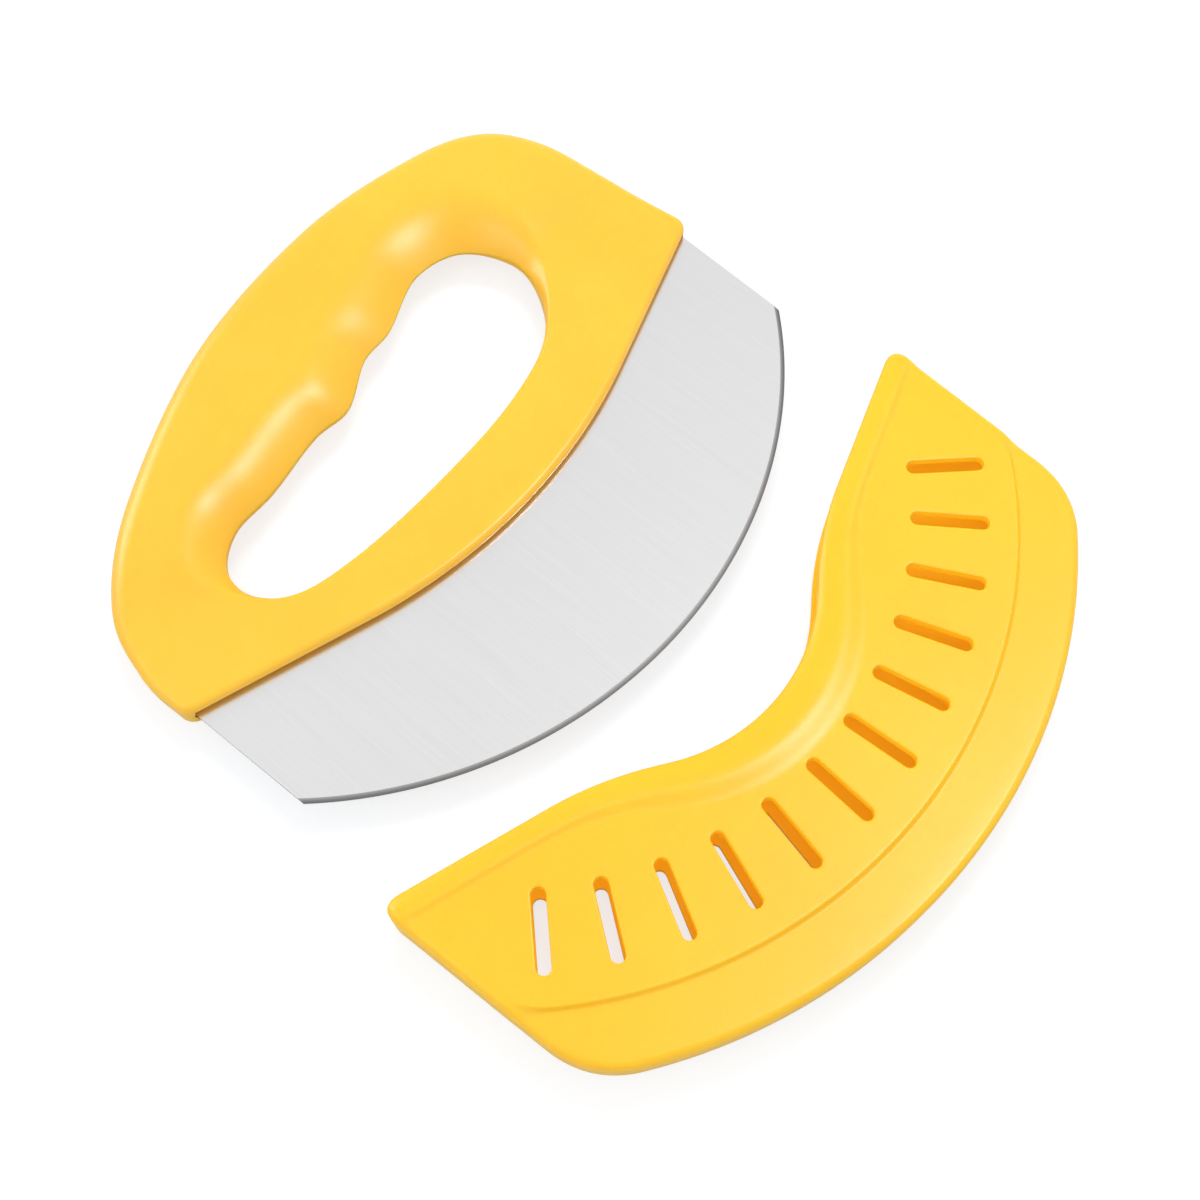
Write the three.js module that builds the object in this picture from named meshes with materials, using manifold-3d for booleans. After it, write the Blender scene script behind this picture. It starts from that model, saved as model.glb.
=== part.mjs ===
// Rocking pizza cutter with a D-shaped handle, lying flat beside its blade guard.
// Millimetres, +Z up, +Y from the blade towards the grip, +X towards the index finger.
import * as THREE from 'three';
import { mergeVertices } from 'three/addons/utils/BufferGeometryUtils.js';
import Module from 'manifold-3d';

const wasm = await Module();
wasm.setup();
const DEGREE = Math.PI / 180;

// Handle, seen from the front: y is 0 at the middle of the edge that holds the blade
const HANDLE_HALF = 81.6; // half the width across the two ends
const EDGE_ARC_R = 130; // middle of the blade-side edge
const EDGE_RAKE = 18.5 * DEGREE; // straight ends of the blade-side edge
const CORNER_CUT = 3; // rounding of the two lower corners
const END_LEAN = 0.3; // the right end leans in by this above its corner
const GRIP_BACK = [[79.2, 44.8], [75.9, 62.5], [67.8, 75.4], [51.3, 82.9], [20, 87.3],
  [-19.5, 82], [-56.2, 65.4], [-75.3, 49.5], [-81.4, 34]];
const FINGER_GROOVES = [[-44, 45.4], [-16, 48.2], [5.5, 54.1], [30, 60.9]];
const FINGER_RIDGES = [[-33, 45.3], [-7, 47.7], [14, 55.1]];
const HOLE_BACK = [[41.7, 57.4], [47.5, 44.5], [43.6, 33], [34.2, 24.1], [18.1, 19.3],
  [-5, 17.6], [-31.2, 18.7], [-48.6, 23.2], [-53.9, 34.4]];
const HOLE_CENTRE = [-4, 37]; // the radial sections of the ring meet here

// Handle, through its thickness
const GRIP_HALF = 7.5; // half the thickness of the grip
const BASE_HALF = 4.1; // half the thickness of the band that holds the blade
const SWELL_FROM = 37; // the ends start to thicken at this height
const SWELL_TO = 63; // and are as thick as the grip from here
const GRIP_BACK_ROUND = 5;
const GRIP_FINGER_ROUND = 15; // how far the finger side rounds in
const GRIP_FINGER_DROP = 6.4; // and how far it rounds down
const BASE_ROUND = 2;
const SHELL_GAP = 0.3; // weld line between the two shells
const SHELL_WALL = 2.2;
const RIB_THICK = 1.6;
const GRIP_RIBS = 4;

// Blade
const BLADE_THICK = 1.2;
const BLADE_END_INSET = 2.1; // the handle's ends stand past the blade by this
const BLADE_DROP = 44.6; // from the handle's edge to the cutting edge, at the middle
const BLADE_EDGE_R = 107;
const BEVEL_WIDTH = 1.8;
const EDGE_LAND = 0.25; // thickness left at the cutting edge
const SHOULDER_DEPTH = 2; // the full width of the blade enters the handle this far
const TANG_DEPTH = 11.5;
const TANG_END_INSET = 6; // the tang is this much narrower than the blade, each end
const BLADE_FIT = 0.3; // clearance round the blade in the handle

// Posts of the front shell, which pass the tang and enter the rear shell
const POST_R = 2.1;
const POST_FIT = 0.35;
const POST_PITCH = 36;
const POST_RISE = 6.75; // above the handle's edge
const POSTS = 4;
const POST_END_WALL = 1.1; // left behind each socket
const BOSS_R = 3.6;
const BOSS_SHARE = 0.45; // of the way from the back of the grip to the hole

// Guard, a hollow sleeve: y is 0 at the middle of its mouth
const GUARD_WALL = 1.85;
const GUARD_RIM = 1.8; // wall along the outer edge and the ends
const GUARD_FIT = 0.35; // clearance to each face of the handle
const EAR_FIT = 0.6; // clearance to each end of the handle
const EDGE_ROOM = 1.5; // space below the cutting edge
const MOUTH_LAP = 2; // the middle of the mouth laps the handle's edge by this
const MOUTH_DIP_R = 42;
const MOUTH_RAMP_ANGLE = 35 * DEGREE;
const MOUTH_RAMP = 4;
const MOUTH_FLARE_R = 80;
const EAR_CUT = 5; // rounding of the two tips of the mouth
const END_DRAFT = 3 * DEGREE;
const GUARD_EDGE_R = 124;
const GUARD_CORNER_CUT = 10; // rounding of the two lower corners
const STEP_CORNER_CUT = 3; // and of the panel's
const BAND_WIDTH = 13; // thinner band along the outer edge
const BAND_HALF = 5;
const BAND_ROUND = 1.8;
const PANEL_ROUND_IN = 2.2; // rounding of the panel's edges, inwards
const PANEL_ROUND_DOWN = 1.2; // and through its thickness
const BEAD_HALF = 7.5; // half the thickness of the bead at the middle of the mouth
const BEAD_WIDTH = 9;
const BEAD_REACH = 46; // the bead is a plain lip from this distance to the ears
const BEAD_POWER = 0.7; // below 1 the bead's section is squarer than an ellipse
const LIP_RISE = 0.6; // the plain lip stands above the panel by this
const LIP_WIDTH = 4.4;
const SLOTS = 12;
const SLOT_PITCH = 8 * DEGREE;
const SLOT_LENGTH = 17;
const SLOT_WIDTH = 3;
const SLOT_TO_STEP = 6.5;
const STOP_RIBS = 5;
const STOP_RIB_PITCH = 13.3;
const STOP_RIB_SLIT = 3.4; // the blade passes through a slit in each rib
const STOP_FIT = 0.4; // between the seated handle and the stop ribs
const GUARD_OFF = 70; // the guard lies this far from the handle's edge, pulled off

// Fineness of the facets
const STATION_PITCH = 5.5;
const ROUND_STEPS = 3;
const BLADE_STATIONS = 36;
const BEAD_STATIONS = 40;
const HOLE_POINTS = 240;
const ROD_SIDES = 16;
const CORNER_PASSES = 8; // to find where the tapered end meets the arc
const WELD = 1e-4; // points closer than this are one
const SHORTEST = 0.01; // shorter runs of an outline are left out
const CLEAR = 40; // cutters run this far past what they cut

// Sizes that follow from those above
const BLADE_HALF = HANDLE_HALF - BLADE_END_INSET;
const BLADE_CENTRE_Y = BLADE_EDGE_R - BLADE_DROP;
const SEAT_HALF = BASE_HALF + GUARD_FIT;
const PANEL_HALF = SEAT_HALF + GUARD_WALL;
const END_HALF = HANDLE_HALF + EAR_FIT + GUARD_RIM;
const GUARD_DEPTH = MOUTH_LAP + BLADE_DROP + EDGE_ROOM + GUARD_RIM;
const GUARD_CENTRE_Y = GUARD_EDGE_R - GUARD_DEPTH;
const STEP_R = GUARD_EDGE_R - BAND_WIDTH;
const BAND_ROOM_HALF = BAND_HALF - GUARD_RIM;
const GRIP_CREST = Math.max(...GRIP_BACK.map((point) => point[1]));

// Solids

function solidOf(geometry) {
  geometry.deleteAttribute('normal');
  geometry.deleteAttribute('uv');
  const merged = mergeVertices(geometry, WELD);
  const vertProperties = new Float32Array(merged.attributes.position.array);
  const triVerts = new Uint32Array(merged.index.array);
  return new wasm.Manifold(new wasm.Mesh({ numProp: 3, vertProperties, triVerts }));
}

function geometryOf(solid) {
  const mesh = solid.getMesh();
  const geometry = new THREE.BufferGeometry();
  geometry.setAttribute('position', new THREE.BufferAttribute(mesh.vertProperties, 3));
  geometry.setIndex(new THREE.BufferAttribute(mesh.triVerts, 1));
  return geometry;
}

// A flat outline made solid between two heights
function plate(points, low, high) {
  const settings = { depth: high - low, bevelEnabled: false };
  const geometry = new THREE.ExtrudeGeometry(new THREE.Shape(points), settings);
  return solidOf(geometry.translate(0, 0, low));
}

// The same with its edges rounded, centred on the middle plane
function roundedPlate(points, half, roundIn, roundDown) {
  const geometry = new THREE.ExtrudeGeometry(new THREE.Shape(points), {
    depth: 2 * (half - roundDown),
    bevelThickness: roundDown,
    bevelSize: roundIn,
    bevelOffset: -roundIn,
    bevelSegments: ROUND_STEPS - 1,
  });
  return solidOf(geometry.translate(0, 0, roundDown - half));
}

function rod(x, y, radius, low, high) {
  const geometry = new THREE.CylinderGeometry(radius, radius, high - low, ROD_SIDES);
  geometry.rotateX(Math.PI / 2);
  return solidOf(geometry.translate(x, y, (low + high) / 2));
}

function block(x, y, z, width, depth, height, turn = 0) {
  const geometry = new THREE.BoxGeometry(width, depth, height);
  return solidOf(geometry.rotateZ(turn).translate(x, y, z));
}

// A skin over closed loops of points, either round a ring or between two end caps
function loft(loops, ring) {
  const size = loops[0].length;
  const position = loops.flat().flatMap((point) => [point.x, point.y, point.z]);
  const index = [];
  const spans = ring ? loops.length : loops.length - 1;
  for (let span = 0; span < spans; span += 1) {
    const here = span * size;
    const there = ((span + 1) % loops.length) * size;
    for (let side = 0; side < size; side += 1) {
      const next = (side + 1) % size;
      index.push(here + side, there + side, here + next, here + next, there + side, there + next);
    }
  }
  if (!ring) {
    const last = (loops.length - 1) * size;
    for (let side = 1; side < size - 1; side += 1) {
      index.push(0, side, side + 1, last, last + side + 1, last + side);
    }
  }
  const geometry = new THREE.BufferGeometry();
  geometry.setAttribute('position', new THREE.Float32BufferAttribute(position, 3));
  geometry.setIndex(index);
  return solidOf(geometry);
}

function mixed(low, high, share) {
  return low + (high - low) * share;
}

// Handle

// Height of the blade-side edge: an arc that runs into straight raked ends
function edgeY(x) {
  const reach = EDGE_ARC_R * Math.sin(EDGE_RAKE);
  const along = Math.abs(x);
  if (along < reach) return EDGE_ARC_R - Math.sqrt(EDGE_ARC_R ** 2 - along ** 2);
  return EDGE_ARC_R * (1 - Math.cos(EDGE_RAKE)) + (along - reach) * Math.tan(EDGE_RAKE);
}

function handleOutline() {
  const reach = EDGE_ARC_R * Math.sin(EDGE_RAKE);
  const before = HANDLE_HALF - CORNER_CUT;
  const cornerY = edgeY(HANDLE_HALF);
  const path = new THREE.Path();
  path.moveTo(-before, edgeY(before));
  path.lineTo(-reach, edgeY(reach));
  path.absarc(0, EDGE_ARC_R, EDGE_ARC_R, -Math.PI / 2 - EDGE_RAKE, -Math.PI / 2 + EDGE_RAKE, false);
  path.lineTo(before, edgeY(before));
  path.quadraticCurveTo(HANDLE_HALF, cornerY, HANDLE_HALF - END_LEAN, cornerY + CORNER_CUT);
  const back = [...GRIP_BACK, [-HANDLE_HALF, cornerY + CORNER_CUT]];
  path.splineThru(back.map(([x, y]) => new THREE.Vector2(x, y)));
  path.quadraticCurveTo(-HANDLE_HALF, cornerY, -before, edgeY(before));
  return path.curves.filter((curve) => curve.getLength() > SHORTEST).flatMap((curve) => {
    const steps = Math.max(ROUND_STEPS, Math.round(curve.getLength() / STATION_PITCH));
    return curve.getSpacedPoints(steps).slice(0, -1);
  });
}

// Finger hole: ridges stand between the finger grooves on the grip side
function holeOutline() {
  const ridgeAfter = (finger) => FINGER_RIDGES.slice(finger, finger + 1);
  const grip = FINGER_GROOVES.flatMap((groove, finger) => [groove, ...ridgeAfter(finger)]);
  const points = [...grip, ...HOLE_BACK].map(([x, y]) => new THREE.Vector3(x, y, 0));
  return new THREE.CatmullRomCurve3(points, true).getSpacedPoints(HOLE_POINTS);
}

// Where the ray from the hole's centre towards a point crosses the hole's outline
function holePointTowards(outer, hole) {
  const [centreX, centreY] = HOLE_CENTRE;
  const aim = new THREE.Vector2(outer.x - centreX, outer.y - centreY).normalize();
  for (let side = 0; side < hole.length - 1; side += 1) {
    const from = new THREE.Vector2(hole[side].x - centreX, hole[side].y - centreY);
    const to = new THREE.Vector2(hole[side + 1].x - centreX, hole[side + 1].y - centreY);
    const fromOff = aim.cross(from);
    const toOff = aim.cross(to);
    if (fromOff * toOff > 0 || fromOff === toOff) continue;
    const reach = mixed(aim.dot(from), aim.dot(to), fromOff / (fromOff - toOff));
    if (reach > 0) return new THREE.Vector2(centreX + aim.x * reach, centreY + aim.y * reach);
  }
  throw new Error('the hole does not surround its centre');
}

// One station of the ring: its outer and inner points and how much of the grip's swell it has
function stations() {
  const hole = holeOutline();
  return handleOutline().map((outer) => ({
    outer,
    inner: holePointTowards(outer, hole),
    swell: THREE.MathUtils.smoothstep(outer.y, SWELL_FROM, SWELL_TO),
  }));
}

// Closed section at a station, from the back of the grip over the top to the hole and back below
function section({ outer, inner, swell }, inset) {
  const width = outer.distanceTo(inner);
  const half = mixed(BASE_HALF, GRIP_HALF, swell) - inset;
  const backRound = Math.max(mixed(BASE_ROUND, GRIP_BACK_ROUND, swell) - inset, inset / 2);
  const fingerRound = Math.max(mixed(BASE_ROUND, GRIP_FINGER_ROUND, swell) - inset, inset / 2);
  const fingerDrop = Math.max(mixed(BASE_ROUND, GRIP_FINGER_DROP, swell) - inset, inset / 2);
  const upper = [];
  for (let step = 0; step <= ROUND_STEPS; step += 1) {
    const turn = (step / ROUND_STEPS) * (Math.PI / 2);
    upper.push([inset + backRound * (1 - Math.cos(turn)), half - backRound * (1 - Math.sin(turn))]);
  }
  for (let step = 0; step <= ROUND_STEPS + 1; step += 1) {
    const turn = (step / (ROUND_STEPS + 1)) * (Math.PI / 2);
    const across = width - inset - fingerRound * (1 - Math.sin(turn));
    upper.push([across, half - fingerDrop * (1 - Math.cos(turn))]);
  }
  const lower = upper.map(([across, height]) => [across, -height]).reverse();
  return [...upper, ...lower].map(([across, height]) => {
    const place = outer.clone().lerp(inner, across / width);
    return new THREE.Vector3(place.x, place.y, height);
  });
}

// Hollow of the grip, crossed by ribs and by the bosses that take the posts
function gripHollow(ring) {
  const run = ring.filter((station) => station.swell >= 1);
  let hollow = loft(run.map((station) => section(station, SHELL_WALL)), false);
  for (let rib = 1; rib <= GRIP_RIBS; rib += 1) {
    const { outer, inner } = run[Math.round((rib * (run.length - 1)) / (GRIP_RIBS + 1))];
    const turn = Math.atan2(outer.y - inner.y, outer.x - inner.x);
    const middle = outer.clone().lerp(inner, 0.5);
    hollow = hollow.subtract(block(middle.x, middle.y, 0, CLEAR * 2, RIB_THICK, CLEAR, turn));
  }
  return hollow;
}

// Places of the bosses, half way between the grip's ribs
function bossPlaces(ring) {
  const run = ring.filter((station) => station.swell >= 1);
  const places = [];
  for (let rib = 1; rib < GRIP_RIBS; rib += 1) {
    const { outer, inner } = run[Math.round(((rib + 0.5) * (run.length - 1)) / (GRIP_RIBS + 1))];
    places.push(outer.clone().lerp(inner, BOSS_SHARE));
  }
  return places;
}

function postPlaces() {
  return Array.from({ length: POSTS }, (_, post) => {
    const x = (post - (POSTS - 1) / 2) * POST_PITCH;
    return new THREE.Vector2(x, edgeY(x) + POST_RISE);
  });
}

function handleShells() {
  const ring = stations();
  const slotHalf = BLADE_THICK / 2 + BLADE_FIT;
  const slot = plate(bladeOutline(BLADE_FIT), -slotHalf, slotHalf);
  const body = loft(ring.map((station) => section(station, 0)), true).subtract(slot);
  const hollow = gripHollow(ring);
  const size = 4 * HANDLE_HALF;
  const above = block(0, 0, (CLEAR + SHELL_GAP) / 2, size, size, CLEAR);
  const below = block(0, 0, -(CLEAR + SHELL_GAP) / 2, size, size, CLEAR);
  let front = body.intersect(above);
  let rear = body.intersect(below);
  const ceiling = GRIP_HALF - SHELL_WALL / 2;
  let bosses = hollow;
  for (const place of bossPlaces(ring)) {
    bosses = bosses.subtract(rod(place.x, place.y, BOSS_R, -ceiling, ceiling));
  }
  front = front.subtract(bosses);
  rear = rear.subtract(bosses);
  const baseRoot = BASE_HALF - POST_END_WALL;
  const posts = postPlaces().map((place) => ({ place, root: baseRoot }));
  const pins = bossPlaces(ring).map((place) => ({ place, root: ceiling }));
  for (const { place, root } of [...posts, ...pins]) {
    front = front.add(rod(place.x, place.y, POST_R, POST_FIT - baseRoot, root));
    rear = rear.subtract(rod(place.x, place.y, POST_R + POST_FIT, -baseRoot, CLEAR));
  }
  return { front, rear };
}

// Blade

// Plan of the blade with its tang, grown by a clearance on every side
function bladeOutline(grow) {
  const side = BLADE_HALF + grow;
  const tang = BLADE_HALF - TANG_END_INSET + grow;
  const points = [];
  for (let step = 0; step <= BLADE_STATIONS; step += 1) {
    const x = mixed(-side, side, step / BLADE_STATIONS);
    points.push(new THREE.Vector2(x, cuttingY(x, BLADE_EDGE_R + grow)));
  }
  points.push(new THREE.Vector2(side, edgeY(side) + SHOULDER_DEPTH + grow));
  points.push(new THREE.Vector2(tang, edgeY(tang) + SHOULDER_DEPTH + grow));
  for (let step = 0; step <= BLADE_STATIONS; step += 1) {
    const x = mixed(tang, -tang, step / BLADE_STATIONS);
    points.push(new THREE.Vector2(x, edgeY(x) + TANG_DEPTH + grow));
  }
  points.push(new THREE.Vector2(-tang, edgeY(tang) + SHOULDER_DEPTH + grow));
  points.push(new THREE.Vector2(-side, edgeY(side) + SHOULDER_DEPTH + grow));
  return points;
}

function cuttingY(x, radius) {
  return BLADE_CENTRE_Y - Math.sqrt(radius ** 2 - x ** 2);
}

// The ground edge: everything below the bevel's upper line thins to the edge land
function bevelCutter(side) {
  const loops = [];
  const half = BLADE_THICK / 2;
  for (let step = 0; step <= BLADE_STATIONS; step += 1) {
    const x = mixed(-BLADE_HALF - BLADE_THICK, BLADE_HALF + BLADE_THICK, step / BLADE_STATIONS);
    const top = cuttingY(x, BLADE_EDGE_R - BEVEL_WIDTH);
    const drop = top - cuttingY(x, BLADE_EDGE_R);
    const slope = (half - EDGE_LAND / 2) / drop;
    const above = [top + half, half + half * slope];
    const below = [top - 2 * drop, half - 2 * drop * slope];
    const corners = [above, below, [top + half, CLEAR]];
    if (side < 0) corners.reverse();
    loops.push(corners.map(([y, z]) => new THREE.Vector3(x, y, side * z)));
  }
  return loft(loops, false);
}

function blade() {
  const half = BLADE_THICK / 2;
  let solid = plate(bladeOutline(0), -half, half);
  solid = solid.subtract(bevelCutter(1)).subtract(bevelCutter(-1));
  for (const place of postPlaces()) {
    solid = solid.subtract(rod(place.x, place.y, POST_R + POST_FIT, -CLEAR, CLEAR));
  }
  return solid;
}

// Guard

function mirrored(half) {
  const left = half.map((point) => new THREE.Vector2(-point.x, point.y)).reverse();
  const whole = [...half, ...left];
  return whole.filter((point, place) => place === 0 || point.distanceTo(whole[place - 1]) > SHORTEST);
}

// Right half of the mouth, from its middle to the tip of the ear
function mouthHalf() {
  const ramp = MOUTH_RAMP_ANGLE;
  const dipEnd = new THREE.Vector2(MOUTH_DIP_R * Math.sin(ramp), MOUTH_DIP_R * (1 - Math.cos(ramp)));
  const flareX = dipEnd.x + MOUTH_RAMP * Math.cos(ramp) + MOUTH_FLARE_R * Math.sin(ramp);
  const flareY = dipEnd.y + MOUTH_RAMP * Math.sin(ramp) - MOUTH_FLARE_R * Math.cos(ramp);
  const earX = flareX - MOUTH_FLARE_R * Math.sin(EDGE_RAKE);
  const earY = flareY + MOUTH_FLARE_R * Math.cos(EDGE_RAKE);
  const before = END_HALF - EAR_CUT * Math.cos(EDGE_RAKE);
  const tipY = earY + (END_HALF - earX) * Math.tan(EDGE_RAKE);
  const path = new THREE.Path();
  path.absarc(0, MOUTH_DIP_R, MOUTH_DIP_R, -Math.PI / 2, -Math.PI / 2 + ramp, false);
  path.absarc(flareX, flareY, MOUTH_FLARE_R, Math.PI / 2 + ramp, Math.PI / 2 + EDGE_RAKE, true);
  path.lineTo(before, tipY - EAR_CUT * Math.sin(EDGE_RAKE));
  path.quadraticCurveTo(END_HALF, tipY, END_HALF, tipY - EAR_CUT);
  return path.getPoints(ROUND_STEPS + 1);
}

// Right side of the guard from the top of its end down round the corner to the bottom
function sideHalf(top, inset, radius, cut) {
  const tilt = Math.tan(END_DRAFT);
  const endX = (y) => END_HALF - inset - (mouthHalf().at(-1).y - y) * tilt;
  const arcY = (x) => GUARD_CENTRE_Y - Math.sqrt(radius ** 2 - x ** 2);
  let cornerY = arcY(END_HALF - inset);
  for (let pass = 0; pass < CORNER_PASSES; pass += 1) cornerY = arcY(endX(cornerY));
  const cornerX = endX(cornerY);
  const turn = Math.asin(cornerX / radius) - cut / radius;
  const path = new THREE.Path();
  path.moveTo(endX(top), top);
  path.lineTo(endX(cornerY + cut), cornerY + cut);
  const bend = new THREE.Vector2(Math.sin(turn), -Math.cos(turn)).multiplyScalar(radius);
  path.quadraticCurveTo(cornerX, cornerY, bend.x, GUARD_CENTRE_Y + bend.y);
  path.absarc(0, GUARD_CENTRE_Y, radius, turn - Math.PI / 2, -Math.PI / 2, true);
  return path.getPoints(2 * ROUND_STEPS);
}

// Raised bead along the mouth, highest at the middle and a plain lip on the ears
function mouthBead() {
  const ear = END_HALF - EAR_CUT;
  const mouth = new THREE.SplineCurve(mirrored(mouthHalf().filter((point) => point.x < ear).reverse()));
  const loops = [];
  for (let step = 0; step <= BEAD_STATIONS; step += 1) {
    const place = mouth.getPointAt(step / BEAD_STATIONS);
    const along = mouth.getTangentAt(step / BEAD_STATIONS);
    const fade = THREE.MathUtils.smoothstep(1 - Math.abs(place.x) / BEAD_REACH, 0, 1);
    const half = mixed(PANEL_HALF + LIP_RISE, BEAD_HALF, fade);
    const width = mixed(LIP_WIDTH, BEAD_WIDTH, fade);
    const loop = [];
    for (let turn = 0; turn < 4 * ROUND_STEPS; turn += 1) {
      const angle = -(turn / (4 * ROUND_STEPS)) * 2 * Math.PI;
      const across = Math.sign(Math.cos(angle)) * Math.abs(Math.cos(angle)) ** BEAD_POWER;
      const rise = Math.sign(Math.sin(angle)) * Math.abs(Math.sin(angle)) ** BEAD_POWER;
      const inward = (width / 2) * (1 + across);
      const spot = new THREE.Vector2(-along.y, along.x).multiplyScalar(inward).add(place);
      loop.push(new THREE.Vector3(spot.x, spot.y, half * rise));
    }
    loops.push(loop);
  }
  return loft(loops, false);
}

function drainSlot(turn) {
  const radius = SLOT_WIDTH / 2;
  const outer = STEP_R - SLOT_TO_STEP - radius;
  const inner = STEP_R - SLOT_TO_STEP - SLOT_LENGTH + radius;
  const shape = new THREE.Shape();
  shape.absarc(0, -outer, radius, Math.PI, 2 * Math.PI, false);
  shape.absarc(0, -inner, radius, 0, Math.PI, false);
  const settings = { depth: CLEAR, bevelEnabled: false, curveSegments: ROUND_STEPS };
  const geometry = new THREE.ExtrudeGeometry(shape, settings);
  return solidOf(geometry.rotateZ(turn).translate(0, GUARD_CENTRE_Y, -CLEAR / 2));
}

// Room inside the guard: wide for the handle's edge, narrower in the band, crossed by the ribs
function guardPocket() {
  const top = mouthHalf().at(-1).y + CLEAR;
  const wideSide = sideHalf(top, GUARD_RIM, STEP_R - GUARD_RIM, STEP_CORNER_CUT);
  const narrowSide = sideHalf(top, GUARD_RIM, GUARD_EDGE_R - GUARD_RIM, GUARD_CORNER_CUT - GUARD_RIM);
  const wide = plate(mirrored(wideSide), -SEAT_HALF, SEAT_HALF);
  let room = wide.add(plate(mirrored(narrowSide), -BAND_ROOM_HALF, BAND_ROOM_HALF));
  for (let rib = 0; rib < STOP_RIBS; rib += 1) {
    const x = (rib - (STOP_RIBS - 1) / 2) * STOP_RIB_PITCH;
    const stop = edgeY(x) - MOUTH_LAP - STOP_FIT;
    const z = (CLEAR + STOP_RIB_SLIT) / 2;
    room = room.subtract(block(x, stop - STEP_R / 2, z, RIB_THICK, STEP_R, CLEAR));
    room = room.subtract(block(x, stop - STEP_R / 2, -z, RIB_THICK, STEP_R, CLEAR));
  }
  return room;
}

function guard() {
  const mouth = mouthHalf();
  const top = mouth.at(-1).y;
  const whole = mirrored([...mouth, ...sideHalf(top, 0, GUARD_EDGE_R, GUARD_CORNER_CUT)]);
  const inner = mirrored([...mouth, ...sideHalf(top, 0, STEP_R, STEP_CORNER_CUT)]);
  const band = roundedPlate(whole, BAND_HALF, BAND_ROUND, BAND_ROUND);
  const panel = roundedPlate(inner, PANEL_HALF, PANEL_ROUND_IN, PANEL_ROUND_DOWN);
  let solid = band.add(panel).add(mouthBead()).subtract(guardPocket());
  for (let slot = 0; slot < SLOTS; slot += 1) {
    solid = solid.subtract(drainSlot((slot - (SLOTS - 1) / 2) * SLOT_PITCH));
  }
  return solid;
}

// Assembly

const PLASTIC = { color: 0xfdd03c, roughness: 0.38, metalness: 0 };
const STEEL = { color: 0xd9dada, roughness: 0.35, metalness: 1 };

function named(name, solid, finish) {
  const mesh = new THREE.Mesh(geometryOf(solid), new THREE.MeshStandardMaterial(finish));
  mesh.name = name;
  return mesh;
}

const shells = handleShells();
const cutter = new THREE.Group();
cutter.add(named('handle_front_shell', shells.front, PLASTIC));
cutter.add(named('handle_rear_shell', shells.rear, PLASTIC));
cutter.add(named('blade', blade(), STEEL));
const bladeGuard = named('blade_guard', guard(), PLASTIC);
bladeGuard.position.y = -GUARD_OFF;

// The origin is under the middle of everything, on the surface that the grip lies on
const pizzaCutter = new THREE.Group();
pizzaCutter.add(cutter, bladeGuard);
pizzaCutter.position.set(0, (GUARD_OFF + GUARD_DEPTH - GRIP_CREST) / 2, GRIP_HALF);

export default pizzaCutter;
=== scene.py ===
"""Rocking pizza cutter lying beside its blade guard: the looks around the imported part.

Laid out as an add-on and run as a script. Metres, +Z up, +Y from the blade to the grip.
"""

import math

import bmesh
import bpy
import numpy as np
from bpy.props import FloatProperty, FloatVectorProperty, IntProperty, PointerProperty
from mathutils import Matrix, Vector
from mathutils.geometry import delaunay_2d_cdt


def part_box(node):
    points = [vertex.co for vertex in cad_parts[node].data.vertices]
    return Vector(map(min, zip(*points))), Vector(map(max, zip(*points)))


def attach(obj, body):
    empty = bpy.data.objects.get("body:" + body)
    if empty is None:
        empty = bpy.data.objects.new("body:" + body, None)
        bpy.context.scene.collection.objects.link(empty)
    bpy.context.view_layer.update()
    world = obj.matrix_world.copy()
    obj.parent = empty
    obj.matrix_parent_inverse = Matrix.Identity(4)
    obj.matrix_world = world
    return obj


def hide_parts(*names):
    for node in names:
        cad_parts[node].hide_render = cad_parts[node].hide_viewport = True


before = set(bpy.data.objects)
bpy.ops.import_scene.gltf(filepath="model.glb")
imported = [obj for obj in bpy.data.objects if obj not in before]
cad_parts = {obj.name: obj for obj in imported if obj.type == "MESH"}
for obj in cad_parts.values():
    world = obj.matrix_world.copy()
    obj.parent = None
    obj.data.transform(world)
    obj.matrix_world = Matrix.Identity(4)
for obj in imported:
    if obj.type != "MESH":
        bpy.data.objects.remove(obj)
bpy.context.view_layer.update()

bl_info = {
    "name": "Rocking pizza cutter",
    "version": (1, 0, 0),
    "blender": (4, 5, 0),
    "location": "View3D > Sidebar > Cutter",
    "description": "Builds a rocking pizza cutter and its blade guard around the packed part",
    "category": "Object",
}

MM = 0.001
QUARTER = math.pi / 2
SHARP = math.radians(31)  # faces that meet at more than this have a sharp edge
BLADE_SHARP = math.radians(8)
SAME_POINT = 1e-7  # points of a curve that lie closer than this are one
WELD = 2e-7  # vertices of a mesh that lie closer than this are one
PITCH = 1 * MM  # from point to point along the outlines

# Outlines of the handle in millimetres, y from the middle of the edge that holds the blade
GRIP_BACK = [(79.2, 44.8), (75.9, 62.5), (67.8, 75.4), (51.3, 82.9), (20, 87.29),
             (-19.5, 82), (-56.2, 65.4), (-75.3, 49.5), (-81.4, 34)]
FINGER_GROOVES = [(-45, 44.1), (-16, 47.7), (5.5, 53.6), (30, 60.3)]
FINGER_RIDGES = [(-33, 44.9), (-7, 47.1), (14, 54.5)]
HOLE_BACK = [(41.4, 56.9), (47.5, 44.5), (43.6, 33), (34.2, 24.1), (18.1, 19.3),
             (-5, 17.6), (-31.2, 18.5), (-45.5, 21.5), (-51.2, 25.8), (-53.8, 32.5), (-52.2, 39.2)]
# Line along the middle of the hole, from which the handle's sections fan out
HOLE_SPINE = np.array(((-40, 32.5), (32, 43))) * MM
# At each end of the hole: x, and the heights where the finger side's rounding starts and is full
HOLE_LEFT = np.array((-54, 24, 50)) * MM
HOLE_RIGHT = np.array((47, 24, 60)) * MM
END_LEAN = 0.3 * MM  # the right end leans in by this above its corner

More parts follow.
